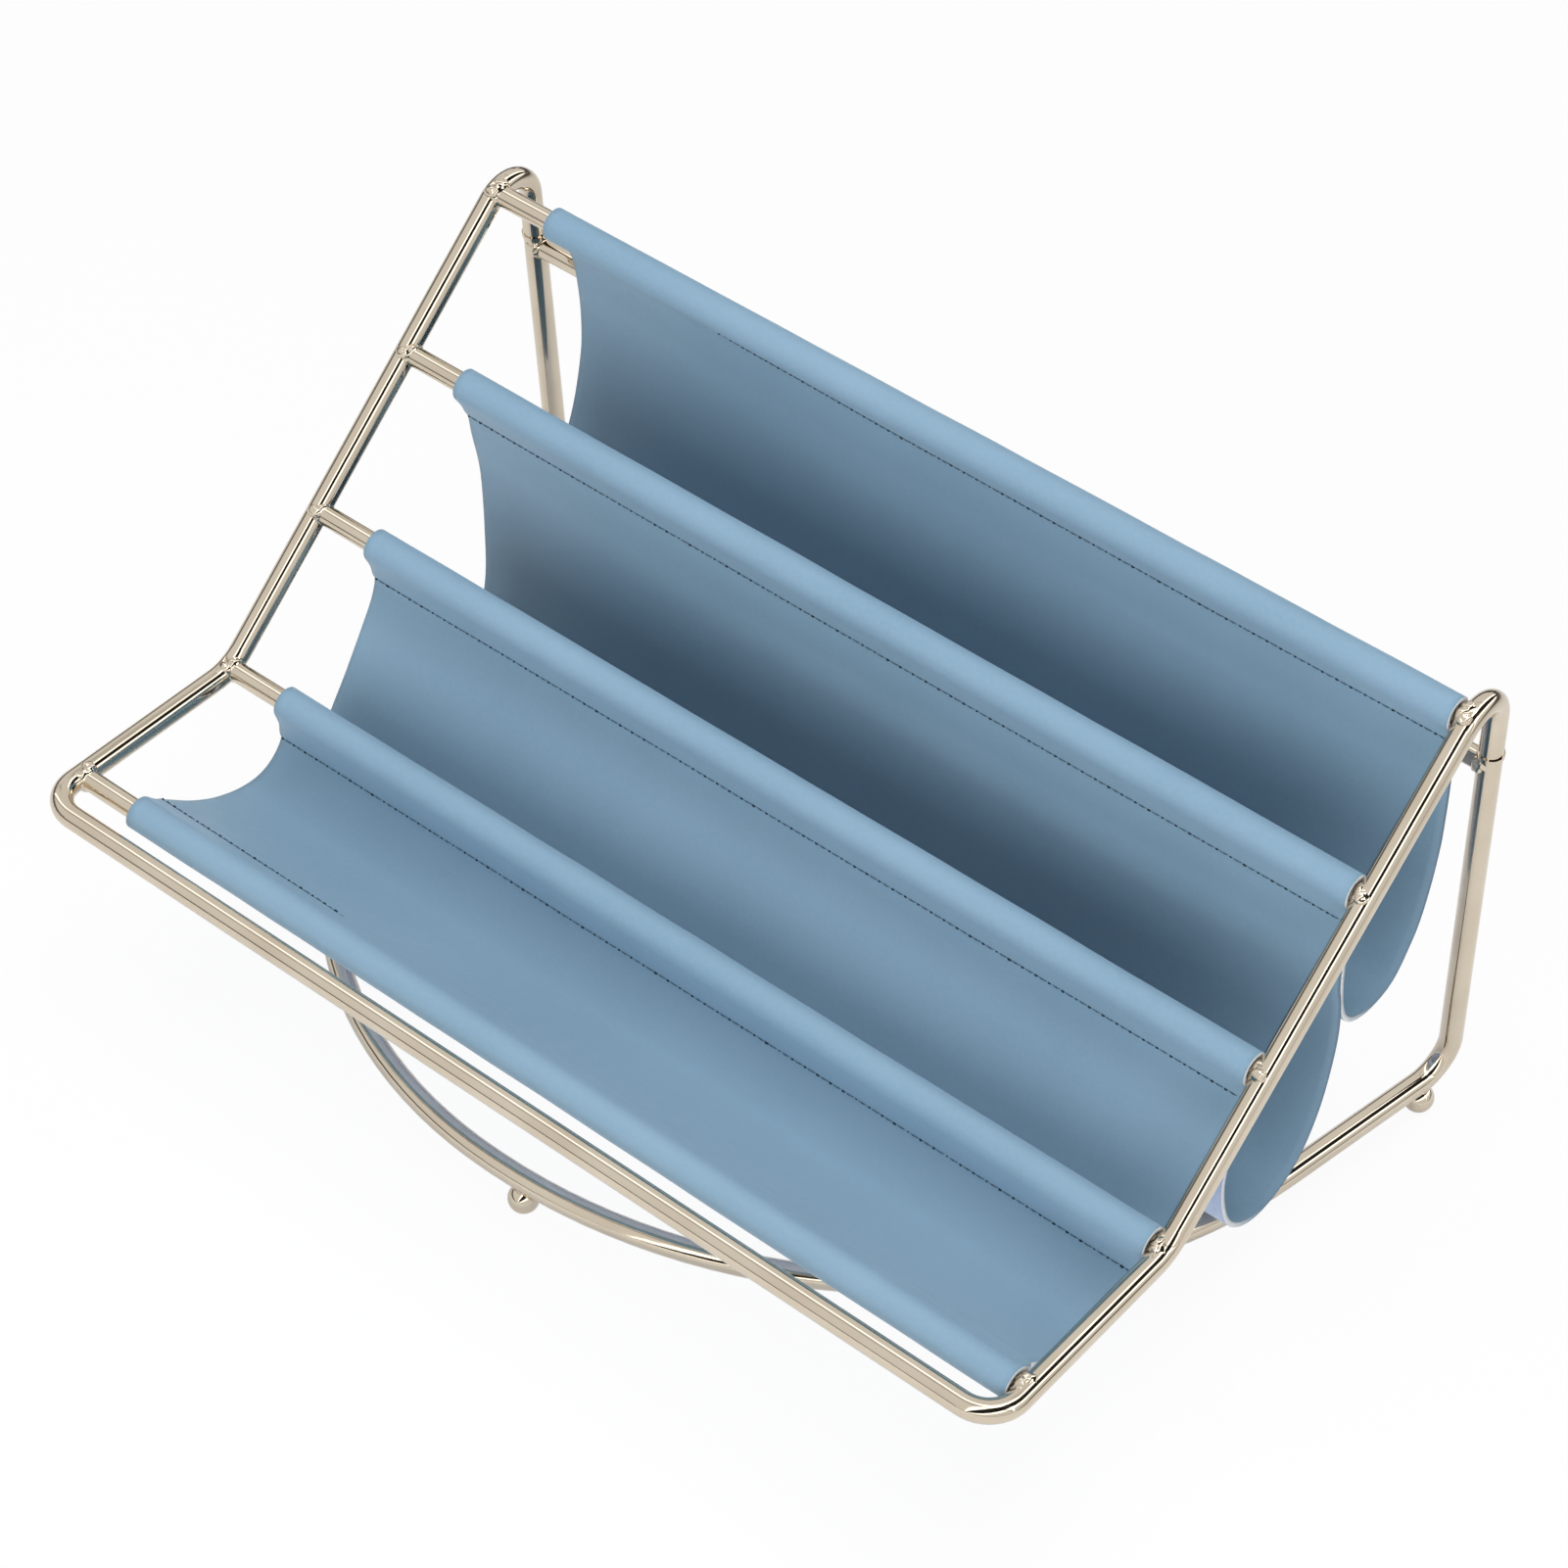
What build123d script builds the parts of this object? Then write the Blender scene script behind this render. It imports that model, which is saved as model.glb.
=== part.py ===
"""Table-top newspaper rack: a plated wire frame with five bars and a leather sling that hangs in four pockets.

Millimetres. X runs along the bars, Y from the front to the back and Z up. The origin is on the table, at the middle
of the rack's footprint.
"""

import os
from math import cos, hypot, radians, sin, sqrt, tan

from build123d import *

# Frame: driving dimensions
RAIL_SPACING = 294.0        # side rail to side rail, centre to centre
WIRE_DIAMETER = 6.0         # the two bent wires
BAR_DIAMETER = 5.5          # crossbars
FOOT_DIAMETER = 8.0         # ball feet
DECK_HEIGHT = 45.0          # front, level part of the side rails, above the base wire
KINK_TO_REAR = 133.6        # from the kink in the side rail back to the rear corner of the base
BAY_PITCH_FRONT = 53.0      # bar 1 to bar 2
FRONT_MARGIN = 12.2         # front rail to bar 1
BAY_PITCH_SLOPE = 46.5      # bar to bar up the slope
SLOPE_ANGLE = 43.6          # of the side rails, above level
LEG_LEAN = 8.0              # of the legs, forward of upright
REAR_BAR_HEIGHT = 116.0     # above the base wire
SEAM_ABOVE_REAR_BAR = 4.0   # butt seam of the two wires
BASE_REACH = 184.4          # rear corner to the nose of the base loop
BASE_TOE_IN = 9.2           # degrees that the base's side runs head inward
NOSE_OFFSET = -11.2         # the nose of the loop, to the left of the middle
NOSE_STRAIGHT = 2.0         # between the loop's two wide arcs
REAR_FOOT_SETBACK = 9.5     # rear feet, along the side runs from the rear corners
FRONT_FOOT_OFFSET = -2.0    # front foot, to the left of the middle

# Bend radii of the wire's centre line
HAIRPIN_RADIUS = 9.3
KINK_RADIUS = 14.0
FRONT_CORNER_RADIUS = 9.0
REAR_CORNER_RADIUS = 10.0

# Welds
WELD_SINK = 0.6             # how far a welded piece melts into its neighbour
BAR_BEAD_RADIUS = 3.6        # less than the sling's sleeves, which slide over the beads
BAR_BEAD_LENGTH = 2.2
SEAM_BEAD_RADIUS = 3.35
SEAM_BEAD_LENGTH = 1.2
FOOT_BEAD_RADIUS = 2.2

# Sling: driving dimensions
SHEET = 1.3                 # leather thickness
SLIDE_TRAVEL = 16.4         # free play of the sling between the side rails
SLEEVE_CLEARANCE = 0.35     # round the bars
SLIDE_CLEARANCE = 0.3       # sling to the right-hand rail
HEM_DROP = 13.0             # bar to stitch line, at the two end hems
SLEEVE_DROP = 15.0          # bar to stitch line, at the three inner sleeves
SLEEVE_END_RADIUS = 0.2     # inside each sleeve, where its two layers come together
TAB_LEAN = [57.0, 9.0, 16.0, 20.0, 27.0]           # of each stitched tab, back from straight down

# Pockets, from the front one to the back one, measured to the middle of the sheet. Their walls are placed at the left
# and at the right end of the sling, and run straight from one end to the other
POCKET_SHIFT = 3.0                                 # of the pockets, to the left of the sleeves
POCKET_1_DEPTH = 21.2                              # floor below the pocket's front bar
POCKET_2_DEPTH = 24.2
POCKET_3_GAP = 1.35                                # this one's floor above the base wire
POCKET_4_DEPTH = 61.6
FRONT_WALL_LEFT = [29.8, 1.8, 0.8, 17.1]           # foot of the front wall, behind the front bar
FRONT_WALL_RIGHT = [29.5, 5.0, -1.3, 13.4]
BACK_WALL_LEFT = [-1.4, -13.5, 4.0, 6.1]           # foot of the back wall, behind the back bar
BACK_WALL_RIGHT = [-8.0, -9.6, 5.2, 10.4]
FRONT_BEND = [32.0, 3.5, 24.0, 14.6]               # front wall into floor
BACK_BEND = [10.9, 22.0, 15.7, 13.7]               # floor into back wall

# The back walls of the two deep pockets swell out to a shoulder
SHOULDER_LEFT = {2: 16.7, 3: 18.0}                 # behind the back bar
SHOULDER_RIGHT = {2: 13.6, 3: 8.1}
SHOULDER_RISE = {2: 32.0, 3: 52.9}                 # above the pocket's floor
SHOULDER_BEND = {2: 78.0, 3: 88.0}

# Worked out from the above
WIRE_R = WIRE_DIAMETER / 2
BAR_R = BAR_DIAMETER / 2
FOOT_R = FOOT_DIAMETER / 2
SIDE_X = RAIL_SPACING / 2
BASE_Z = FOOT_DIAMETER + WIRE_R - WELD_SINK
FRONT_TO_REAR = FRONT_MARGIN + BAY_PITCH_FRONT + KINK_TO_REAR
LEAN = radians(LEG_LEAN)
SLOPE = radians(SLOPE_ANGLE)
TOE_IN = radians(BASE_TOE_IN)
REAR_TANGENT = REAR_CORNER_RADIUS / tan((radians(90) - LEAN) / 2)
REAR_Y = (FRONT_TO_REAR + REAR_TANGENT - REAR_CORNER_RADIUS) / 2
SLEEVE_R = BAR_R + SLEEVE_CLEARANCE + SHEET / 2
LAYER_OFFSET = 0.4 * SHEET    # of each layer's middle, either side of a stitch line
SLING_RIGHT = SIDE_X - WIRE_R - SLIDE_CLEARANCE
SLING_WIDTH = 2 * SLING_RIGHT - SLIDE_TRAVEL
NOSE_CORNER_X = SIDE_X - BASE_REACH * tan(TOE_IN)
NOSE_TURN = radians(90) - TOE_IN


def on_leg(height):
    """Y and Z on the leg's centre line, at a height above the base wire."""
    return REAR_Y - height * tan(LEAN), BASE_Z + height


def on_slope(distance):
    """Y and Z on the sloping side rail, at a distance up from the kink."""
    return REAR_Y - KINK_TO_REAR + distance * cos(SLOPE), BASE_Z + DECK_HEIGHT + distance * sin(SLOPE)


def on_run(distance):
    """X and Y on the base's side run at the right, at a distance from the rear corner."""
    return SIDE_X - distance * sin(TOE_IN), REAR_Y - distance * cos(TOE_IN)


APEX_DISTANCE = (KINK_TO_REAR - DECK_HEIGHT * tan(LEAN)) / (cos(SLOPE) + sin(SLOPE) * tan(LEAN))
KINK_RISE = KINK_RADIUS * (1 / cos(SLOPE / 2) - 1)
KINK = on_slope(0)
FRONT_Y = REAR_Y - FRONT_TO_REAR
SEAM = on_leg(REAR_BAR_HEIGHT + SEAM_ABOVE_REAR_BAR)
BARS = [
    (FRONT_Y + FRONT_MARGIN, KINK[1]),
    (KINK[0] - KINK_RISE * sin(SLOPE / 2), KINK[1] + KINK_RISE * cos(SLOPE / 2)),
    on_slope(BAY_PITCH_SLOPE),
    on_slope(2 * BAY_PITCH_SLOPE),
    on_slope(3 * BAY_PITCH_SLOPE),
]
REAR_BAR = on_leg(REAR_BAR_HEIGHT)
POCKET_FLOOR = [
    BARS[0][1] - POCKET_1_DEPTH,
    BARS[1][1] - POCKET_2_DEPTH,
    BASE_Z + WIRE_R + POCKET_3_GAP + SHEET / 2,
    BARS[3][1] - POCKET_4_DEPTH,
]


def save(part, name):
    part.label = name
    export_step(part, f"parts/{name}.step")


def wire_section(path):
    """The round section of a frame wire, at the start of its path."""
    return Plane(origin=path @ 0, z_dir=path % 0)


def upper_frame():
    """One wire from leg seam to leg seam: hairpins, side rails, kinks and front rail."""
    right = [
        (SIDE_X, *SEAM),
        (SIDE_X, *on_slope(APEX_DISTANCE)),
        (SIDE_X, *KINK),
        (SIDE_X, FRONT_Y, KINK[1]),
    ]
    left = [(-x, y, z) for x, y, z in reversed(right)]
    bends = [HAIRPIN_RADIUS, KINK_RADIUS, FRONT_CORNER_RADIUS]
    with BuildPart() as wire:
        with BuildLine() as route:
            FilletPolyline(*right, *left, radius=bends + bends[::-1])
        with BuildSketch(wire_section(route.line)):
            Circle(WIRE_R)
        sweep(path=route.line)
    return wire.part


def loop_radius(side):
    """The wide arc from a side run to the nose of the base loop: side 1 is the right."""
    tangent = NOSE_CORNER_X - side * NOSE_OFFSET - NOSE_STRAIGHT / 2
    return tangent / tan(NOSE_TURN / 2)


def loop_y(x):
    """Y on the base loop just right of its nose."""
    radius = loop_radius(1)
    along = x - NOSE_OFFSET - NOSE_STRAIGHT / 2
    return REAR_Y - BASE_REACH + radius - sqrt(radius**2 - along**2)


def base_frame():
    """One wire from leg seam to leg seam: legs, rear corners and the loop that bows to the front."""
    right = [
        (SIDE_X, *SEAM),
        (SIDE_X, REAR_Y, BASE_Z),
        (NOSE_CORNER_X, REAR_Y - BASE_REACH, BASE_Z),
    ]
    left = [(-x, y, z) for x, y, z in reversed(right)]
    bends = [REAR_CORNER_RADIUS, loop_radius(1), loop_radius(-1), REAR_CORNER_RADIUS]
    with BuildPart() as wire:
        with BuildLine() as route:
            FilletPolyline(*right, *left, radius=bends)
        with BuildSketch(wire_section(route.line)):
            Circle(WIRE_R)
        sweep(path=route.line)
    return wire.part


def crossbar(place, frame_wire):
    """A round bar whose ends are coped to seat on the wire at each side."""
    with BuildPart() as bar:
        with BuildSketch(Plane.YZ):
            with Locations(place):
                Circle(BAR_R)
        extrude(amount=SIDE_X - WIRE_R + WELD_SINK, both=True)
        add(frame_wire, mode=Mode.SUBTRACT)
    return bar.part


def crossbar_welds(place, bar, frame_wire):
    """A domed bead round each end of a bar, seated on the bar and on the wire."""
    y, z = place
    reach = WIRE_R + BAR_BEAD_LENGTH
    with BuildPart() as beads:
        with BuildSketch(Plane.XY.offset(z)):
            with Locations((SIDE_X, y)):
                Ellipse(reach, BAR_BEAD_RADIUS)
                Rectangle(reach, BAR_BEAD_RADIUS, align=(Align.MAX, Align.MIN), mode=Mode.INTERSECT)
        revolve(axis=Axis((0, y, z), (1, 0, 0)))
        mirror(about=Plane.YZ)
        add(bar, mode=Mode.SUBTRACT)
        add(frame_wire, mode=Mode.SUBTRACT)
    return beads.part


def foot(x, y, base_wire):
    """A ball that the base wire stands on."""
    with BuildPart() as ball:
        with Locations((x, y, FOOT_R)):
            Sphere(FOOT_R)
        add(base_wire, mode=Mode.SUBTRACT)
    return ball.part


def foot_welds(places, feet, base_wire):
    """The necks of weld metal between the balls and the base wire."""
    with BuildPart() as necks:
        with BuildSketch(Plane.XY.offset(FOOT_R)):
            with Locations(*places):
                Circle(FOOT_BEAD_RADIUS)
        extrude(amount=BASE_Z - FOOT_R)
        for ball in feet:
            add(ball, mode=Mode.SUBTRACT)
        add(base_wire, mode=Mode.SUBTRACT)
    return necks.part


def leg_seam_welds():
    """The thin raised ring where the two wires meet end to end, in each leg."""
    with BuildPart() as rings:
        for side in (1, -1):
            with BuildSketch(Plane(origin=(side * SIDE_X, *SEAM), z_dir=(0, -sin(LEAN), cos(LEAN)))):
                Circle(SEAM_BEAD_RADIUS)
                Circle(WIRE_R, mode=Mode.SUBTRACT)
            extrude(amount=SEAM_BEAD_LENGTH / 2, both=True)
    return rings.part


def stitch(bar, layer=0):
    """Where the sheet is stitched under a bar: layer 1 is the face nearer the back, -1 nearer the front."""
    y, z = BARS[bar]
    lean = radians(TAB_LEAN[bar])
    drop = HEM_DROP if bar in (0, len(BARS) - 1) else SLEEVE_DROP
    offset = layer * LAYER_OFFSET
    return y + drop * sin(lean) + offset * cos(lean), z - drop * cos(lean) + offset * sin(lean)


def teardrop(top, top_radius, tip, tip_radius):
    """The outline round two circles: the edges of its hull."""
    with BuildLine() as circles:
        CenterArc(top, top_radius, 0, 360)
        CenterArc(tip, tip_radius, 0, 360)
    return circles.edges()


def sleeve_outline(bar):
    """Outside of the loop of sheet round one bar, down to the stitch line."""
    return teardrop(BARS[bar], SLEEVE_R + SHEET / 2, stitch(bar), SHEET)


def sleeve_opening(bar):
    """Inside of the same loop, ending where its two layers come together."""
    y, z = BARS[bar]
    foot_y, foot_z = stitch(bar)
    share = 1 - 2 * SHEET / hypot(foot_y - y, foot_z - z)
    tip = (y + share * (foot_y - y), z + share * (foot_z - z))
    return teardrop(BARS[bar], SLEEVE_R - SHEET / 2, tip, SLEEVE_END_RADIUS)


def pocket(bay, front_wall, back_wall, shoulder):
    """The middle line of one pocket at one end, from the stitch line of its front bar to that of its back bar."""
    corners = [
        stitch(bay, 1),
        (BARS[bay][0] + front_wall[bay], POCKET_FLOOR[bay]),
        (BARS[bay + 1][0] + back_wall[bay], POCKET_FLOOR[bay]),
    ]
    bends = [FRONT_BEND[bay], BACK_BEND[bay]]
    if bay in shoulder:
        corners.append((BARS[bay + 1][0] + shoulder[bay], POCKET_FLOOR[bay] + SHOULDER_RISE[bay]))
        bends.append(SHOULDER_BEND[bay])
    with BuildLine() as wall:
        FilletPolyline(*corners, stitch(bay + 1, -1), radius=bends)
    return wall.line


def pockets():
    """The sheet of the four pockets, each tapered from its left end to its right end."""
    left = SLING_RIGHT - SLING_WIDTH - POCKET_SHIFT
    with BuildPart() as walls:
        for bay in range(len(BARS) - 1):
            with BuildSketch(Plane.YZ.offset(left)):
                trace(pocket(bay, FRONT_WALL_LEFT, BACK_WALL_LEFT, SHOULDER_LEFT), SHEET)
            with BuildSketch(Plane.YZ.offset(left + SLING_WIDTH)):
                trace(pocket(bay, FRONT_WALL_RIGHT, BACK_WALL_RIGHT, SHOULDER_RIGHT), SHEET)
            loft()
    return walls.part


def sling():
    """One sheet, looped over the five bars and hung between them in four pockets."""
    with BuildPart() as sheet:
        with BuildSketch(Plane.YZ.offset(SLING_RIGHT - SLING_WIDTH)):
            for bar in range(len(BARS)):
                make_hull(sleeve_outline(bar))
                make_hull(sleeve_opening(bar), mode=Mode.SUBTRACT)
        extrude(amount=SLING_WIDTH)
        add(pockets())
    return sheet.part


def main():
    os.makedirs("parts", exist_ok=True)
    upper = upper_frame()
    base = base_frame()
    save(upper, "upper_frame")
    save(base, "base_frame")

    for number, place in enumerate(BARS, start=1):
        bar = crossbar(place, upper)
        save(bar, f"crossbar_{number}")
        save(crossbar_welds(place, bar, upper), f"crossbar_{number}_welds")
    rear_bar = crossbar(REAR_BAR, base)
    save(rear_bar, "rear_crossbar")
    save(crossbar_welds(REAR_BAR, rear_bar, base), "rear_crossbar_welds")
    save(leg_seam_welds(), "leg_seam_welds")

    rear_foot = on_run(REAR_FOOT_SETBACK)
    places = {
        "foot_left": (-rear_foot[0], rear_foot[1]),
        "foot_right": rear_foot,
        "foot_front": (FRONT_FOOT_OFFSET, loop_y(FRONT_FOOT_OFFSET)),
    }
    feet = {name: foot(*place, base) for name, place in places.items()}
    for name, ball in feet.items():
        save(ball, name)
    save(foot_welds(places.values(), feet.values(), base), "foot_welds")
    save(sling(), "sling")


main()
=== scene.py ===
"""Looks for the newspaper rack: plated wires, lumpy welds, a stitched leather sheet and a white studio."""

from math import acos, atan2, ceil, cos, pi, radians, sin, sqrt

import bmesh
import bpy
from mathutils import Matrix, Vector, noise


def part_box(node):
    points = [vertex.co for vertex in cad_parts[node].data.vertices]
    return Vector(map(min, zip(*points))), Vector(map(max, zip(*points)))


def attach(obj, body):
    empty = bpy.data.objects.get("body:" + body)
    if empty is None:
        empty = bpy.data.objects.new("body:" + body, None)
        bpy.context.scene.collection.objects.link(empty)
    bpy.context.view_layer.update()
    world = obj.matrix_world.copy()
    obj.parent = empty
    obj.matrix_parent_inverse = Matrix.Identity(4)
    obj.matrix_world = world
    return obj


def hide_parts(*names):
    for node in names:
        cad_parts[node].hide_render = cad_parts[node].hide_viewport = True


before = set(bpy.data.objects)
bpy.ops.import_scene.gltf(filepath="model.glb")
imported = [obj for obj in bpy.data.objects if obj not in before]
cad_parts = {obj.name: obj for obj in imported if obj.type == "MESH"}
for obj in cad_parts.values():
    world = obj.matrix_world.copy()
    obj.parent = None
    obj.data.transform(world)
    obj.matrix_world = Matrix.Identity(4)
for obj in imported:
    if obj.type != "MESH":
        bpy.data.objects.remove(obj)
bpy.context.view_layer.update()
MM = 0.001

# The photograph's camera, in the frame's metres and degrees
CAMERA_PLACE = Vector((0.4507, -0.6178, 0.8183))
CAMERA_AZIMUTH = 35.74
CAMERA_ELEVATION = 43.77
CAMERA_ROLL = 4.34
CAMERA_LENS = 100.43          # mm
SENSOR_WIDTH = 36.0           # mm

# The leather sheet, in millimetres
SHEET = 1.3                   # thickness
SLEEVE_CLEARANCE = 0.35       # round the bars
HEM_FLAP = 4.5                # free edge past the stitch line, at the two end hems
SLEEVE_STEPS = 22             # rows of the sheet's mesh round a bar
TAB_STEPS = 6                 # rows in each layer between a bar and its stitch line
POCKET_STEP = 2.2             # between rows, in the pockets
COLUMN_STEP = 2.1             # between columns
SKEW = 3.0                    # how far the pockets hang to the left of their sleeves
BACK_WALL_SKEW = 1.4          # how far the rearmost wall does
SWELL = 0.9                   # height of the slow waves, where the sheet hangs free
SWELL_REACH = (75, 45)        # their length along the bars, and along the section
RIPPLE = 0.10                 # height of the puckers
RIPPLE_REACH = (17, 60)       # their length in the same two directions
SEAM_SLACK = 0.12             # share of the swell that is left at the seams and on the bars
FREE_FROM = 28                # distance from a seam at which the sheet swells in full
EDGE_LIGHT_RATE = 1.5                  # painted light: how fast the cut edge turns pale as the backing turns to the front

# From each bar to its stitch line: the drop, then the lean back from straight down in degrees, at the left
# and right end
TABS = [(13.0, 57, 57), (15.0, 9, 9), (15.0, 16, 16), (15.0, 23, 19), (13.0, 36, 23)]

# The spline through a pocket's places leaves and meets the tabs in their own direction, as if it went on to a
# place this far up each tab
SPLINE_LEAD = 6
SPLINE_STEPS = 24             # from one place to the next
MEASURING_ROWS = 200          # to measure a pocket before its own rows are spaced

# Each pocket at its left and right end: places on the middle of the sheet, from its front bar to its back
# bar, as distances behind and above the front one
POCKETS = [
    ([(20, -13.5), (28.5, -18.7), (37, -21.6), (45, -22), (50.3, -19.6)],
     [(19, -13), (26, -17.6), (34, -20.2), (43, -20.6), (50, -18)]),
    ([(3, -21.5), (8.5, -26), (15, -24.2), (21.5, -15), (31.6, 1.3), (36.4, 10.5)],
     [(3, -20.5), (7.5, -23.3), (15, -23.0), (23.2, -16.4), (32.6, -1), (37.4, 10)]),
    ([(4, -28), (2.5, -46), (9, -64), (20, -71.5), (32, -71), (42, -62), (46.3, -45), (46.3, -26),
      (44.3, -4), (40.5, 11)],
     [(3, -28), (1.5, -46), (8, -64), (18, -71.6), (27.4, -72.3), (37.2, -67.5), (44, -54.5), (46.3, -33),
      (44.4, -18), (41.5, -8), (39.2, 8)]),
    ([(9.5, -28), (13.5, -46), (20.5, -58.5), (30, -62), (39, -56.5), (45.3, -40), (47.9, -20),
      (47.5, -5), (45.6, 7), (43.6, 15)],
     [(7.6, -25), (9.8, -40.5), (15.8, -56.5), (25, -61.8), (36, -60.5), (42.4, -50.5), (44.4, -34),
      (43.2, -12), (40.8, 5.5)]),
]

# Lumps of weld metal at a bar's end: inward from the side wire's centre line, back, up, then three radii
WELD_LUMPS = [
    (1.7, 0.0, 0.0, 2.6, 3.4, 3.4),
    (0.9, 1.4, 1.7, 2.4, 2.1, 1.9),
    (0.8, -1.8, 1.2, 2.3, 1.9, 1.8),
    (1.0, 0.6, -2.2, 2.2, 2.3, 1.5),
]
WELD_SEGMENTS = 28

# Stitching, in millimetres
STITCH_PITCH = 3.9
STITCH_LENGTH = 3.15
THREAD_RADIUS = 0.27
THREAD_SIDES = 8
HOLE_RADIUS = 0.42
HOLE_STRETCH = 1.3            # along its row
HOLE_UNEVEN = 0.5             # share of its radius
HOLE_SINK = 0.02              # its middle, below the face
HOLE_SEGMENTS = 9
STITCH_UNEVEN = 0.06          # share of the pitch
STITCH_SLANT = 0.16           # across its row, from end to end
STITCH_INSET = 1.0            # first and last stitch, from the cut edges

# Along a stitch: how far the thread's middle is above the leather, and the share of its full radius
STITCH_RISE = (-0.35, -0.02, 0.1, 0.1, -0.02, -0.35)
STITCH_TAPER = (0.5, 0.9, 1.0, 1.0, 0.9, 0.5)

# The end hems' inner rows show over this part of the width (0 is left), and then sink into the leather
STITCHES_SHOW = {0: (0.0, 0.20), 4: (0.21, 1.0)}
SINK = 0.6                    # how much deeper a sunk stitch lies
SINK_OVER = 0.06              # share of the width over which they sink
HOLES_UNTIL = 0.5             # share of the sinking past which a stitch has no needle hole

# Lamps: place, power in watts, size, and the place they look at. Lengths are in metres
LAMP_SIZE = 1.1
LAMP_TARGET = (0, 0, 0.08)
LAMPS = {
    "overhead": ((0, 0, 1.5), 15, LAMP_SIZE, LAMP_TARGET),
    "front": ((0, -1.5, 0.7), 13.4, LAMP_SIZE, LAMP_TARGET),
    "right": ((1.0, -0.9, 0.85), 7.5, LAMP_SIZE, LAMP_TARGET),
    "back": ((0, 0.9, 1.3), 4, LAMP_SIZE, LAMP_TARGET),
    "bounce": ((0, 0, 0.003), 0.09, 0.24, (0, 0, 1)),
}

# The floor, and its share of plain white to the camera and to mirrors. The rest is its lit surface
FLOOR_REACH = 4.0             # metres from its middle to each side
FLOOR_GREY = 0.86
FLOOR_WHITE = {"Is Camera Ray": 0.93, "Is Glossy Ray": 0.3}

# The studio tent: its level, and what its panels show to mirrors, as (angle in degrees, level). The angle
# rises from the right in the first list and from the back in the second
TENT_LEVEL = 0.06
TENT_ACROSS = [
    (-180, 0.9), (-1, 0.9), (0, 0.8), (28, 0.88), (32, 2.4), (43, 2.4), (45, 0.02), (73, 0.02), (75, 2.6),
    (86, 2.6), (90, 0.9), (160, 0.88), (168, 0.15), (180, 0.15),
]
TENT_ALONG = [
    (-180, 0.97), (-6, 0.92), (-3, 0.12), (10, 0.15), (14, 0.92), (56, 0.95), (59, 0.6), (62, 0.95),
    (78, 0.95), (80, 2.6), (87, 2.6), (89, 0.95), (97, 0.92), (99, 0.4), (102, 0.4), (105, 0.97), (180, 0.97),
]


def middle(node):
    """The centre of a CAD node's box."""
    low, high = (Vector(corner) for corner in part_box(node))
    return (low + high) / 2


def make_piece(name, grid, materials):
    """An object in the scene from a bmesh, which is used up."""
    mesh = bpy.data.meshes.new(name)
    grid.to_mesh(mesh)
    grid.free()
    for material in materials:
        mesh.materials.append(material)
    piece = bpy.data.objects.new(name, mesh)
    bpy.context.scene.collection.objects.link(piece)
    return piece


def clamp(value):
    """The value, kept between 0 and 1."""
    return min(1.0, max(0.0, value))


BAR_NODES = [f"crossbar_{number}" for number in range(1, 6)]
BARS = [middle(node).yz / MM for node in BAR_NODES]
BAR_RADIUS = (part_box("crossbar_1")[1][2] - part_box("crossbar_1")[0][2]) / 2 / MM
WIRE_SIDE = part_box("crossbar_1_welds")[1][0]
SLEEVE_RADIUS = BAR_RADIUS + SLEEVE_CLEARANCE + SHEET / 2
SHEET_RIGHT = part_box("sling")[1][0] / MM
SHEET_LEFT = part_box("sling")[0][0] / MM + SKEW


# ------------------------------------------------------------------------------ materials


class Tree:
    """A short way to write the node tree of a material or a world."""

    def __init__(self, owner):
        owner.use_nodes = True
        self.nodes = owner.node_tree.nodes
        self.links = owner.node_tree.links

    def add(self, kind, inputs=None, **settings):
        """A node, with its settings, and its inputs by name or number: another node's output, or a value."""
        node = self.nodes.new(kind)
        for key, value in settings.items():
            setattr(node, key, value)
        for key, value in (inputs or {}).items():
            self.put(node, key, value)
        return node

    def put(self, node, key, value):
        """An input's value, or a link to it."""
        if isinstance(value, bpy.types.NodeSocket):
            self.links.new(value, node.inputs[key])
        else:
            node.inputs[key].default_value = value

    def ramp(self, value, *stops):
        """A ramp of (position, colour or grey level)."""
        node = self.add("ShaderNodeValToRGB", {"Fac": value})
        points = node.color_ramp.elements
        while len(points) < len(stops):
            points.new(0.5)
        for point, (position, colour) in zip(points, stops):
            point.position = position
            point.color = (*colour, 1) if isinstance(colour, tuple) else (colour, colour, colour, 1)
        return node.outputs["Color"]

    def mix(self, share, first, second):
        """Two shaders mixed by a share."""
        return self.add("ShaderNodeMixShader", {"Fac": share, 1: first, 2: second}).outputs[0]


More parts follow.
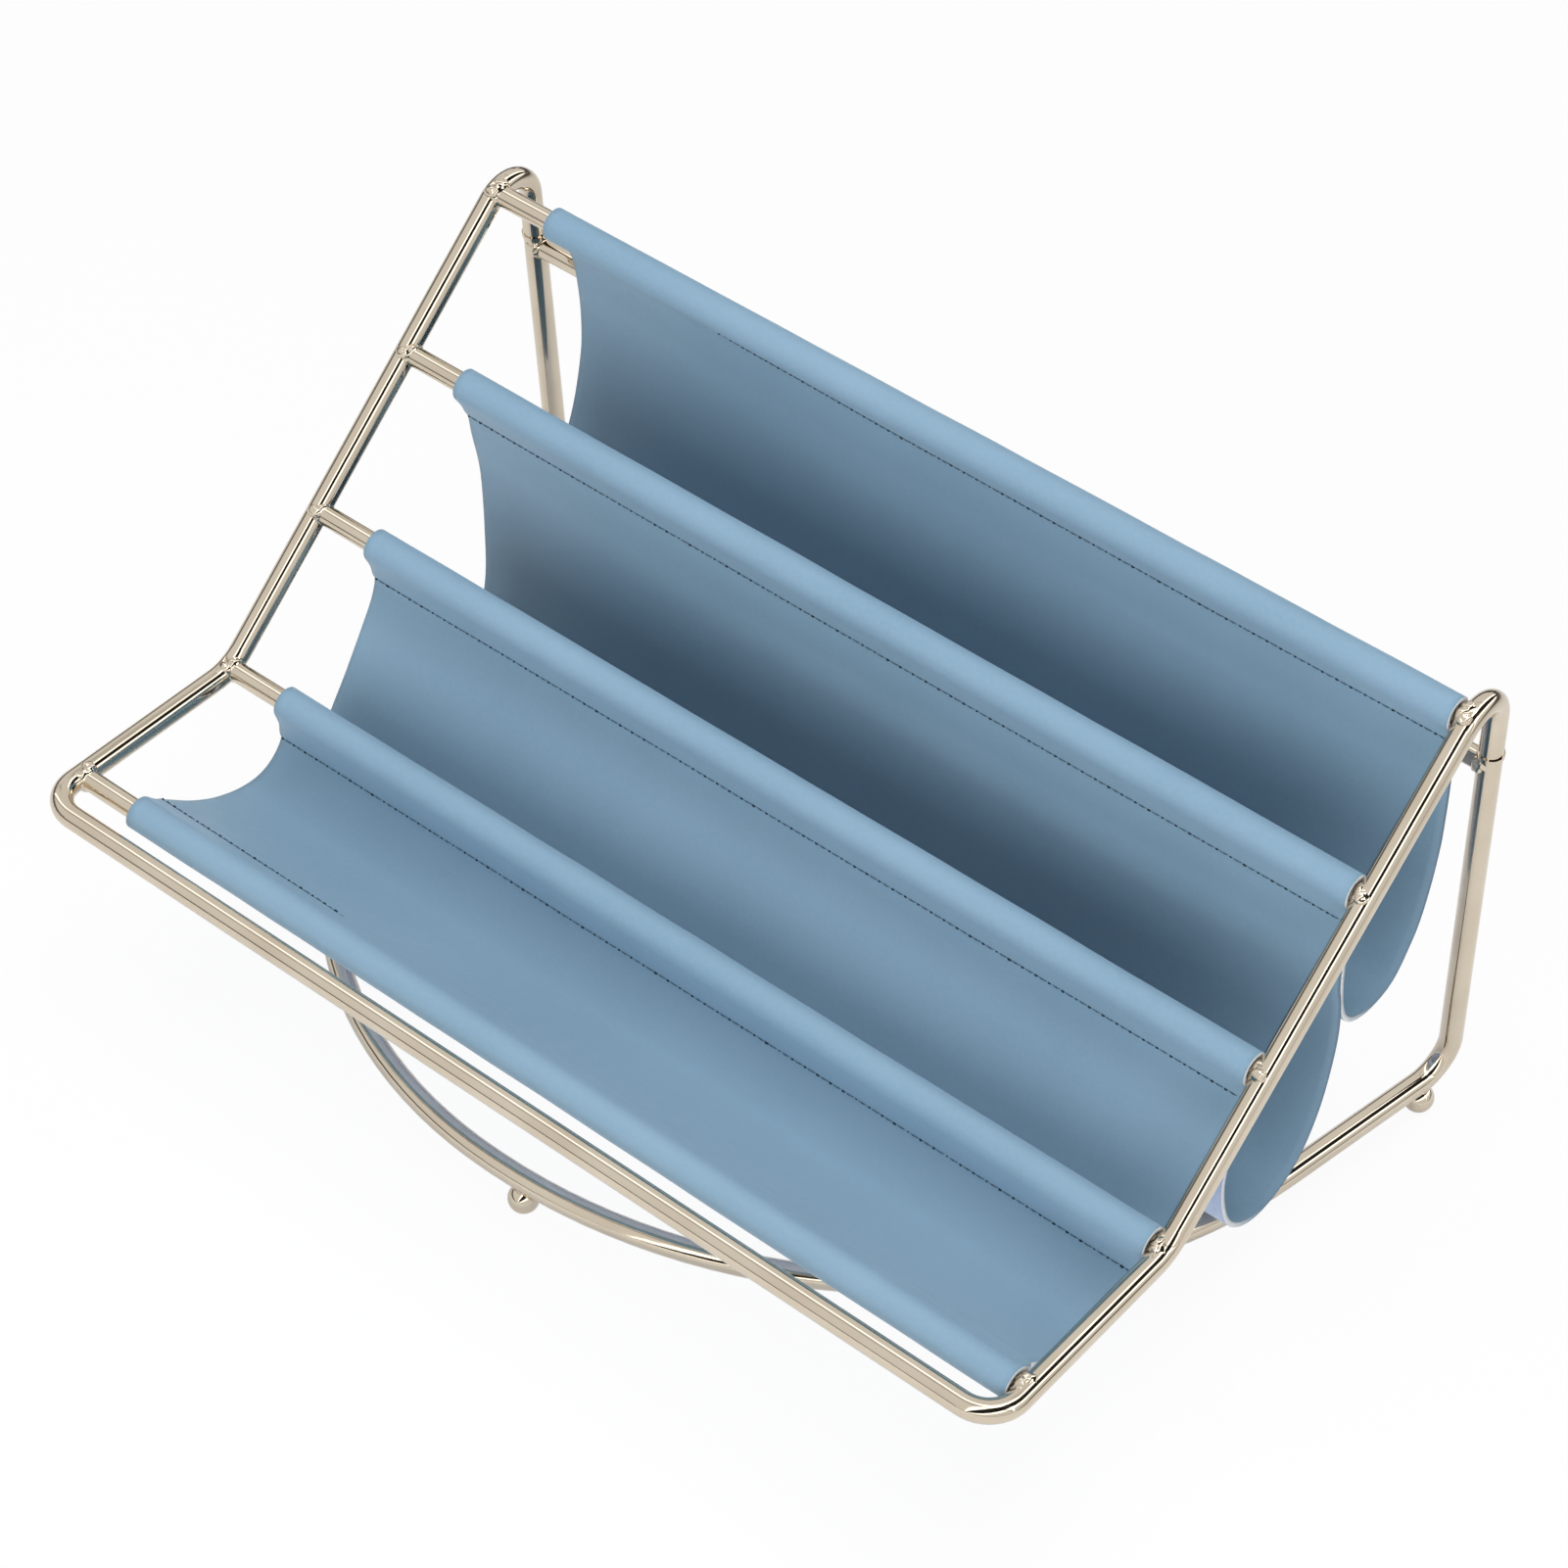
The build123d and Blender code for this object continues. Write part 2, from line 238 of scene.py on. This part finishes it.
class Look(Tree):
    """A material with its node tree."""

    def __init__(self, name):
        self.material = bpy.data.materials.new(name)
        super().__init__(self.material)
        self.shader = self.nodes["Principled BSDF"]
        self.place = self.add("ShaderNodeTexCoord").outputs["Object"]

    def set(self, **inputs):
        """The shader's own inputs, with _ for a space in their names."""
        for key, value in inputs.items():
            self.put(self.shader, key.replace("_", " "), value)

    def noise(self, scale, detail=2.0):
        """Noise over the object's own coordinates, in cycles per metre."""
        inputs = {"Vector": self.place, "Scale": scale, "Detail": detail}
        return self.add("ShaderNodeTexNoise", inputs).outputs["Fac"]

    def blend(self, share, first, second):
        """Two colours mixed by a share."""
        node = self.add("ShaderNodeMix", {"Factor": share}, data_type="RGBA")
        for key, value in (("A", first), ("B", second)):
            socket = next(slot for slot in node.inputs if slot.name == key and slot.type == "RGBA")
            if isinstance(value, bpy.types.NodeSocket):
                self.links.new(value, socket)
            else:
                socket.default_value = (*value, 1)
        return next(slot for slot in node.outputs if slot.type == "RGBA")

    def bump(self, height, strength, distance):
        """Relief on the shader's normal, with its height in metres."""
        inputs = {"Height": height, "Strength": strength, "Distance": distance}
        previous = self.shader.inputs["Normal"].links
        if previous:
            inputs["Normal"] = previous[0].from_socket
        self.put(self.shader, "Normal", self.add("ShaderNodeBump", inputs).outputs["Normal"])


def plated_wire(name, wobble):
    """Bright pale-gold plating, slightly uneven as plated drawn wire is."""
    look = Look(name)
    tint = look.ramp(look.noise(55, 3.0), (0.3, (0.65, 0.56, 0.44)), (0.7, (0.72, 0.635, 0.51)))
    look.set(Base_Color=tint, Metallic=1.0)
    look.set(Roughness=look.ramp(look.noise(240, 4.0), (0.35, 0.04), (0.7, 0.10)))
    look.bump(look.noise(150, 2.0), wobble, 0.6 * MM)
    return look.material


def leather_face():
    """Smooth matt blue PU leather with a very fine grain."""
    look = Look("leather_face")
    patches = look.ramp(look.noise(14, 3.0), (0.3, (0.219, 0.349, 0.465)), (0.7, (0.247, 0.382, 0.504)))
    grain = look.ramp(look.noise(900, 4.0), (0.35, 0.0), (0.75, 0.35))
    look.set(Base_Color=look.blend(grain, patches, (0.271, 0.413, 0.535)))
    look.set(Metallic=0.0, Specular_IOR_Level=0.28, Diffuse_Roughness=0.4)
    look.set(Sheen_Weight=0.05, Sheen_Roughness=0.45)
    look.set(Roughness=look.ramp(look.noise(300, 4.0), (0.3, 0.46), (0.7, 0.58)))
    cells = look.add("ShaderNodeTexVoronoi", {"Vector": look.place, "Scale": 1500.0})
    look.bump(cells.outputs["Distance"], 0.22, 0.06 * MM)
    look.bump(look.noise(70, 3.0), 0.25, 0.5 * MM)
    return look.material


def leather_back():
    """The pale, fuzzy knitted backing."""
    look = Look("leather_back")
    fibres = look.ramp(look.noise(1800, 4.0), (0.3, (0.36, 0.47, 0.70)), (0.7, (0.50, 0.61, 0.82)))
    look.set(Base_Color=fibres)
    look.set(Metallic=0.0, Roughness=0.92, Specular_IOR_Level=0.2, Sheen_Weight=0.5, Sheen_Roughness=0.6)
    look.bump(look.noise(2400, 3.0), 0.7, 0.15 * MM)
    return look.material


def leather_edge():
    """The cut edge, with light and shade painted in: pale where the backing looks to the front and round the
    bars, as painted light, and darker blue elsewhere, as painted shade.
    """
    look = Look("leather_edge")
    lit_pale_core = look.ramp(look.noise(1300, 3.0), (0.3, (0.78, 0.83, 0.88)), (0.7, (0.94, 0.95, 0.97)))
    shaded_blue = look.ramp(look.noise(1300, 3.0), (0.3, (0.17, 0.27, 0.38)), (0.7, (0.24, 0.36, 0.49)))
    # Painted light and shade: the pale share lightens the edge where it faces the front and round the bars,
    # and leaves it darker blue elsewhere
    share = look.add("ShaderNodeAttribute", attribute_name="pale").outputs["Fac"]
    look.set(Base_Color=look.blend(share, shaded_blue, lit_pale_core))
    look.set(Metallic=0.0, Roughness=0.85, Specular_IOR_Level=0.25)
    look.bump(look.noise(2600, 2.0), 0.5, 0.1 * MM)
    return look.material


def thread():
    """Twisted polyester thread, darker than the leather."""
    look = Look("thread")
    inputs = {"Vector": look.place, "Scale": 420.0, "Distortion": 2.0}
    twist = look.add("ShaderNodeTexWave", inputs, bands_direction="DIAGONAL").outputs["Fac"]
    look.set(Base_Color=look.ramp(twist, (0.2, (0.035, 0.075, 0.115)), (0.8, (0.085, 0.155, 0.215))))
    look.set(Metallic=0.0, Roughness=0.6, Sheen_Weight=0.2)
    look.bump(twist, 0.5, 0.08 * MM)
    return look.material


def needle_hole():
    """The dimple that the needle leaves between two stitches, with its shadow painted into its dark colour.
    """
    look = Look("needle_hole")
    # Painted shade: the hole's shadow as a near-black colour
    shadow = look.ramp(look.noise(900, 2.0), (0.3, (0.012, 0.022, 0.032)), (0.7, (0.03, 0.05, 0.07)))
    look.set(Base_Color=shadow)
    look.set(Metallic=0.0, Roughness=0.8, Specular_IOR_Level=0.2)
    return look.material


# ------------------------------------------------------------------------------ the sheet's section


def downward(lean):
    """The direction of a tab that leans back by this many degrees from straight down."""
    return Vector((sin(radians(lean)), -cos(radians(lean))))


def tab_end(bar, lean, layer):
    """Where the sheet is stitched under a bar, in the layer nearer the back (1) or nearer the front (-1)."""
    drop = TABS[bar][0]
    across = Vector((cos(radians(lean)), sin(radians(lean))))
    return BARS[bar] + drop * downward(lean) + layer * SHEET / 2 * across


def straight(start, end, steps):
    """Places from start to end, without the end."""
    return [start.lerp(end, step / steps) for step in range(steps)]


def sleeve(bar, lean):
    """Up the front layer, over the bar and down the back layer, from stitch line to stitch line."""
    front, back = tab_end(bar, lean, -1), tab_end(bar, lean, 1)
    reach = (front - BARS[bar]).length
    spread = acos(SLEEVE_RADIUS / reach)
    start = atan2(*(front - BARS[bar]).yx) - spread
    end = atan2(*(back - BARS[bar]).yx) + spread - 2 * pi
    arc = []
    for step in range(SLEEVE_STEPS + 1):
        angle = start + (end - start) * step / SLEEVE_STEPS
        arc.append(BARS[bar] + SLEEVE_RADIUS * Vector((cos(angle), sin(angle))))
    return straight(front, arc[0], TAB_STEPS) + arc[:-1] + straight(arc[-1], back, TAB_STEPS) + [back]


def smooth_line(points, steps):
    """A centripetal spline through points whose first and last only give the direction at the ends."""
    line = []
    for before, a, b, after in zip(points, points[1:], points[2:], points[3:]):
        knots = [0.0]
        for p, q in ((before, a), (a, b), (b, after)):
            knots.append(knots[-1] + sqrt((q - p).length))
        t0, t1, t2, t3 = knots
        arrive = (t2 - t1) * ((b - a) / (t2 - t1) - (after - a) / (t3 - t1) + (after - b) / (t3 - t2))
        leave = (t2 - t1) * ((a - before) / (t1 - t0) - (b - before) / (t2 - t0) + (b - a) / (t2 - t1))
        for step in range(steps):
            t = step / steps
            line.append(
                (2 * t**3 - 3 * t**2 + 1) * a
                + (t**3 - 2 * t**2 + t) * leave
                + (3 * t**2 - 2 * t**3) * b
                + (t**3 - t**2) * arrive
            )
    return line + [points[-2]]


def line_length(line):
    """The length of a line through places."""
    return sum((b - a).length for a, b in zip(line, line[1:]))


def evenly(line, count):
    """The same line, with count evenly spaced places."""
    lengths = [0.0]
    for a, b in zip(line, line[1:]):
        lengths.append(lengths[-1] + (b - a).length)
    places, index = [], 0
    for step in range(count):
        wanted = lengths[-1] * step / (count - 1)
        while index < len(line) - 2 and lengths[index + 1] < wanted:
            index += 1
        share = (wanted - lengths[index]) / (lengths[index + 1] - lengths[index])
        places.append(line[index].lerp(line[index + 1], share))
    return places


def pocket(bay, end, count):
    """One pocket's section at the left (0) or right (1) end, from stitch line to stitch line."""
    front_lean, back_lean = TABS[bay][1 + end], TABS[bay + 1][1 + end]
    start, stop = tab_end(bay, front_lean, 1), tab_end(bay + 1, back_lean, -1)
    guide = [BARS[bay] + Vector(place) for place in POCKETS[bay][end]]
    before, after = start - SPLINE_LEAD * downward(front_lean), stop - SPLINE_LEAD * downward(back_lean)
    return evenly(smooth_line([before, start, *guide, stop, after], SPLINE_STEPS), count)


def beside(line, distance):
    """A line at a distance to the left of another."""
    shifted = []
    for index, place in enumerate(line):
        ahead, behind = line[min(index + 1, len(line) - 1)], line[max(index - 1, 0)]
        along = (ahead - behind).normalized()
        shifted.append(place + distance * Vector((-along.y, along.x)))
    return shifted


def section():
    """The sheet's section at its left and right end, and each bar's first and last row, the stitched ones."""
    bays = range(len(POCKETS))
    bay_rows = [ceil(line_length(pocket(bay, 1, MEASURING_ROWS)) / POCKET_STEP) for bay in bays]
    flap_steps = max(2, round(HEM_FLAP / POCKET_STEP)) + 1
    ends = []
    for end in (0, 1):
        pockets = [pocket(bay, end, bay_rows[bay]) for bay in bays]
        rows = beside(pockets[0][:flap_steps], -SHEET)[:0:-1]
        seams = []
        for bar in range(len(BARS)):
            loop = sleeve(bar, TABS[bar][1 + end])
            seams.append((len(rows), len(rows) + len(loop) - 1))
            rows += loop
            if bar in bays:
                rows += pockets[bar][1:-1]
        rows += beside(pockets[-1][-flap_steps:], -SHEET)[-2::-1]
        ends.append(rows)
    return ends, seams


# ------------------------------------------------------------------------------ the sheet in space


class Sling:
    """The sheet's middle surface: a row runs along the bars, a column along the section."""

    def __init__(self):
        (self.left, self.right), self.seams = section()
        self.rows = len(self.left)
        seam_rows = [row for pair in self.seams for row in pair]
        self.slack = [self.looseness(row, seam_rows) for row in range(self.rows)]
        self.skew = [self.sideways(row) for row in range(self.rows)]

    def on_bar(self, row):
        """Whether this row is in a sleeve or its tab."""
        return any(first <= row <= last for first, last in self.seams)

    def looseness(self, row, seam_rows):
        """How freely the sheet can wave in this row: little on the bars and at seams, most in the pockets."""
        if self.on_bar(row):
            return SEAM_SLACK
        away = min(abs(row - seam) for seam in seam_rows) * POCKET_STEP
        return SEAM_SLACK + (1 - SEAM_SLACK) * min(1.0, away / FREE_FROM)

    def sideways(self, row):
        """How far this row lies to the right of the pockets: most on the bars, some in the back wall."""
        last_bar = self.seams[-1]
        for first, last in self.seams:
            if first <= row <= last:
                seam = SKEW - BACK_WALL_SKEW if first == last_bar[0] else 0.0
                climb = min(1.0, min(row - first, last - row) / (TAB_STEPS - 1))
                return seam + (SKEW - seam) * climb * climb * (3 - 2 * climb)
        floor = (self.seams[-2][1] + last_bar[0]) / 2
        return (SKEW - BACK_WALL_SKEW) * clamp(2 * (row - floor) / (last_bar[0] - floor))

    def painted_edge_light(self, row):
        """How much light is painted on the cut edge, as paleness: where the backing looks to the front, and
        round the bars.
        """
        if self.on_bar(row):
            return 1.0
        return clamp(EDGE_LIGHT_RATE * self.place(row, SHEET_RIGHT)[1].y)

    def place(self, row, x):
        """A place on the sheet, in millimetres, and the side that its face looks to."""
        share = (x - SHEET_LEFT) / (SHEET_RIGHT - SHEET_LEFT)
        bend = 1 - (1 - share) ** 2
        rows = (max(row - 1, 0), row, min(row + 1, self.rows - 1))
        behind, at, ahead = (self.left[number].lerp(self.right[number], bend) for number in rows)
        along = (ahead - behind).normalized()
        return Vector((x, *at)), Vector((0, -along.y, along.x))

    def wave(self, row, x):
        """Small uneven swells of a hanging sheet, and puckers along its seams."""
        along = row * POCKET_STEP
        swell = noise.noise(Vector((x / SWELL_REACH[0], along / SWELL_REACH[1], 1.7)))
        ripple = noise.noise(Vector((x / RIPPLE_REACH[0], along / RIPPLE_REACH[1], 9.3)))
        return self.slack[row] * SWELL * swell + RIPPLE * ripple

    def surface(self, row, x, out=0.0):
        """The same place with its waves, moved out along the face, in metres."""
        at, face = self.place(row, x)
        at = at + face * (self.wave(row, x) + out) + Vector((self.skew[row] - SKEW, 0, 0))
        return at * MM, face


def build_sheet(sling):
    """The sheet as a grid, thickened by a modifier into face, backing and cut edges."""
    columns = ceil((SHEET_RIGHT - SHEET_LEFT) / COLUMN_STEP)
    grid = bmesh.new()
    # Painted light on the cut edge, passed to its material as the pale share
    pale = grid.verts.layers.float.new("pale")
    lattice = []
    for column in range(columns + 1):
        x = SHEET_LEFT + (SHEET_RIGHT - SHEET_LEFT) * column / columns
        lattice.append([grid.verts.new(sling.surface(row, x)[0]) for row in range(sling.rows)])
        for row, vert in enumerate(lattice[-1]):
            vert[pale] = sling.painted_edge_light(row)
    for near, far in zip(lattice, lattice[1:]):
        for row in range(sling.rows - 1):
            grid.faces.new((near[row], near[row + 1], far[row + 1], far[row])).smooth = True
    bmesh.ops.recalc_face_normals(grid, faces=grid.faces)
    top = max(grid.faces, key=lambda face: face.calc_center_median().z)
    if top.normal.z < 0:
        bmesh.ops.reverse_faces(grid, faces=grid.faces)
    piece = make_piece("leather_sling", grid, (leather_face(), leather_back(), leather_edge()))
    thick = piece.modifiers.new("thickness", "SOLIDIFY")
    thick.thickness = SHEET * MM
    thick.offset = 0.0
    thick.material_offset = 1
    thick.material_offset_rim = 2
    return piece


# ------------------------------------------------------------------------------ stitching


def add_tube(grid, path, radii, sides):
    """A closed tube along a path, with a radius at each place."""
    rings = []
    for index, place in enumerate(path):
        along = (path[min(index + 1, len(path) - 1)] - path[max(index - 1, 0)]).normalized()
        side = along.cross(Vector((0, 0, 1)))
        side = side.normalized() if side.length > 0.1 else along.cross(Vector((0, 1, 0))).normalized()
        up = side.cross(along)
        ring = []
        for step in range(sides):
            angle = 2 * pi * step / sides
            ring.append(grid.verts.new(place + radii[index] * (cos(angle) * side + sin(angle) * up)))
        rings.append(ring)
    for a, b in zip(rings, rings[1:]):
        for step in range(sides):
            grid.faces.new((a[step], a[(step + 1) % sides], b[(step + 1) % sides], b[step])).smooth = True
    grid.faces.new(rings[0][::-1])
    grid.faces.new(rings[-1])


def add_lump(grid, centre, size, seed, segments):
    """An uneven blob: a ball with three radii, pushed in and out by noise."""
    shift = Vector((seed, 0.5 * seed, -seed))
    ball = bmesh.ops.create_uvsphere(grid, u_segments=segments, v_segments=2 * segments // 3, radius=1.0)
    for vert in ball["verts"]:
        coarse = 0.15 * noise.noise(1.7 * vert.co + shift)
        fine = 0.07 * noise.noise(4 * vert.co - shift)
        reach = Vector((vert.co.x * size[0], vert.co.y * size[1], vert.co.z * size[2]))
        vert.co = centre + (1 + coarse + fine) * MM * reach


def add_stitch(grid, sling, row, x, sink):
    """One stitch's thread along a row, from x to the right."""
    path = []
    for index, rise in enumerate(STITCH_RISE):
        share = index / (len(STITCH_RISE) - 1)
        along = x + STITCH_LENGTH * share
        out = SHEET / 2 + rise - sink + 0.05 * noise.noise(Vector((along, row, 3.3)))
        at, face = sling.surface(row, along, out)
        path.append(at + STITCH_SLANT * (share - 0.5) * MM * Vector((0, face.z, -face.y)))
    add_tube(grid, path, [THREAD_RADIUS * MM * taper for taper in STITCH_TAPER], THREAD_SIDES)


def add_hole(grid, sling, row, x, number):
    """The needle's dimple before a stitch, in the second material, which paints its shade dark."""
    made = len(grid.faces)
    place = sling.surface(row, x - 0.5 * (STITCH_PITCH - STITCH_LENGTH), SHEET / 2 - HOLE_SINK)[0]
    size = HOLE_RADIUS * (1 + HOLE_UNEVEN * noise.noise(Vector((1.3 * number, row, 6.1))))
    add_lump(grid, place, (HOLE_STRETCH * size, size, size), x, HOLE_SEGMENTS)
    grid.faces.ensure_lookup_table()
    for face in grid.faces[made:]:
        face.material_index = 1
        face.smooth = True


def build_stitches(sling, bar, materials):
    """One row of stitching through a tab, showing on both of its sides."""
    grid = bmesh.new()
    first, last = sling.seams[bar]
    # The front hem's inner row lies one row of the mesh higher
    rows = (first, last - 1) if bar == 0 else (first, last)
    inner = rows[1] if bar == 0 else rows[0]
    shows_from, shows_to = STITCHES_SHOW.get(bar, (0.0, 1.0))
    room = SHEET_RIGHT - SHEET_LEFT - 2 * STITCH_INSET - STITCH_LENGTH
    gaps = round(room / STITCH_PITCH)
    for number in range(gaps + 1):
        across = number / gaps
        uneven = STITCH_UNEVEN * noise.noise(Vector((number * 0.7, bar * 5.1, 0.4)))
        x = SHEET_LEFT + STITCH_INSET + room / gaps * (number + uneven)
        for row in rows:
            sunk = clamp(max(shows_from - across, across - shows_to) / SINK_OVER) if row == inner else 0.0
            add_stitch(grid, sling, row, x, SINK * sunk)
            if sunk <= HOLES_UNTIL:
                add_hole(grid, sling, row, x, number)
    return make_piece(f"stitching_{bar + 1}", grid, materials)


# ------------------------------------------------------------------------------ welds


def build_weld(bar_node, weld_node, material):
    """The lumps where both ends of a bar are welded to the wire, as one piece."""
    grid = bmesh.new()
    centre = middle(bar_node)
    for side in (-1, 1):
        for number, (inward, back, up, *size) in enumerate(WELD_LUMPS):
            at = Vector((side * (WIRE_SIDE - inward * MM), centre.y + back * MM, centre.z + up * MM))
            seed = 900 * centre.z + 7.3 * number + 2.1 * side
            add_lump(grid, at, size, seed, WELD_SEGMENTS)
    for face in grid.faces:
        face.smooth = True
    piece = make_piece(weld_node + "_lumps", grid, (material,))
    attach(piece, "frame")
    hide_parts(weld_node)


# ------------------------------------------------------------------------------ studio


def build_camera():
    """The photograph's camera."""
    data = bpy.data.cameras.new("camera")
    data.lens = CAMERA_LENS
    data.sensor_width = SENSOR_WIDTH
    data.clip_end = 20.0
    camera = bpy.data.objects.new("camera", data)
    azimuth, elevation = radians(CAMERA_AZIMUTH), radians(CAMERA_ELEVATION)
    back = Vector((cos(elevation) * sin(azimuth), -cos(elevation) * cos(azimuth), sin(elevation)))
    right = Vector((cos(azimuth), sin(azimuth), 0))
    up = back.cross(right)
    turn = Matrix((right, up, back)).transposed() @ Matrix.Rotation(radians(CAMERA_ROLL), 3, "Z")
    camera.matrix_world = Matrix.Translation(CAMERA_PLACE) @ turn.to_4x4()
    bpy.context.scene.collection.objects.link(camera)
    bpy.context.scene.camera = camera


def build_lamp(name, place, power, size, target):
    """A square soft box. Mirrors see the tent in its place."""
    data = bpy.data.lights.new(name, "AREA")
    data.shape = "SQUARE"
    data.size = size
    data.energy = power
    lamp = bpy.data.objects.new(name, data)
    lamp.location = place
    lamp.rotation_euler = (Vector(target) - Vector(place)).to_track_quat("-Z", "Y").to_euler()
    lamp.visible_glossy = False
    lamp.visible_camera = False
    bpy.context.scene.collection.objects.link(lamp)


def build_floor():
    """A white floor that shows as white and still takes a faint shadow."""
    look = Look("floor")
    look.set(Base_Color=(FLOOR_GREY, FLOOR_GREY, FLOOR_GREY, 1), Roughness=0.9, Specular_IOR_Level=0.0)
    rays = look.add("ShaderNodeLightPath").outputs
    seen = []
    for kind, white in FLOOR_WHITE.items():
        seen.append(look.add("ShaderNodeMath", {0: rays[kind], 1: white}, operation="MULTIPLY").outputs[0])
    share = look.add("ShaderNodeMath", {0: seen[0], 1: seen[1]}, operation="MAXIMUM").outputs[0]
    glow = look.add("ShaderNodeEmission", {"Strength": 1.0}).outputs[0]
    surface = look.mix(share, look.shader.outputs[0], glow)
    look.put(look.nodes["Material Output"], "Surface", surface)

    grid = bmesh.new()
    bmesh.ops.create_grid(grid, x_segments=1, y_segments=1, size=FLOOR_REACH)
    floor = make_piece("floor", grid, (look.material,))


def panels(tree, height, across, stops):
    """The tent's level over the angle by which a direction rises from one axis, from -180 to 180 degrees."""
    angle = tree.add("ShaderNodeMath", {0: height, 1: across}, operation="ARCTAN2").outputs[0]
    turn = tree.add("ShaderNodeMapRange", {"Value": angle, "From Min": -pi, "From Max": pi})
    return tree.ramp(turn.outputs["Result"], *(((degrees + 180) / 360, level) for degrees, level in stops))


def build_world():
    """A soft white tent. Reflections also see its strip lights and the dark gaps between its panels."""
    world = bpy.data.worlds.new("studio")
    bpy.context.scene.world = world
    tree = Tree(world)
    soft = tree.nodes["Background"]
    tree.put(soft, "Color", (1, 1, 1, 1))
    tree.put(soft, "Strength", TENT_LEVEL)
    white = tree.add("ShaderNodeBackground", {"Color": (1, 1, 1, 1)})

    direction = tree.add("ShaderNodeTexCoord").outputs["Generated"]
    along = tree.add("ShaderNodeSeparateXYZ", {0: direction}).outputs
    levels = {
        0: panels(tree, along["Z"], along["X"], TENT_ACROSS),
        1: panels(tree, along["Z"], along["Y"], TENT_ALONG),
    }
    level = tree.add("ShaderNodeVectorMath", levels, operation="MULTIPLY").outputs["Vector"]
    tent = tree.add("ShaderNodeBackground", {"Color": level})

    rays = tree.add("ShaderNodeLightPath").outputs
    mirrored = tree.mix(rays["Is Glossy Ray"], soft.outputs[0], tent.outputs[0])
    seen = tree.mix(rays["Is Camera Ray"], mirrored, white.outputs[0])
    tree.put(tree.nodes["World Output"], "Surface", seen)


# ------------------------------------------------------------------------------ put together


def dress_frame():
    """The plating on every wire, bar and ball that CAD made."""
    wires = plated_wire("plated_wire", 0.05)
    for name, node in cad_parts.items():
        if name != "sling":
            node.data.materials.clear()
            node.data.materials.append(wires)


def dress_sling():
    """The leather sheet and its rows of stitching, in place of the CAD's sling."""
    sling = Sling()
    sheet = build_sheet(sling)
    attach(sheet, "sling")
    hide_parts("sling")
    materials = (thread(), needle_hole())
    for bar in range(len(BARS)):
        row = build_stitches(sling, bar, materials)
        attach(row, "sling")


dress_frame()
weld_metal = plated_wire("plated_weld", 0.5)
for bar_node in BAR_NODES + ["rear_crossbar"]:
    build_weld(bar_node, bar_node + "_welds", weld_metal)
dress_sling()

build_camera()
build_floor()
build_world()
for lamp_name, settings in LAMPS.items():
    build_lamp(lamp_name, *settings)

bpy.context.scene.view_settings.view_transform = "Standard"
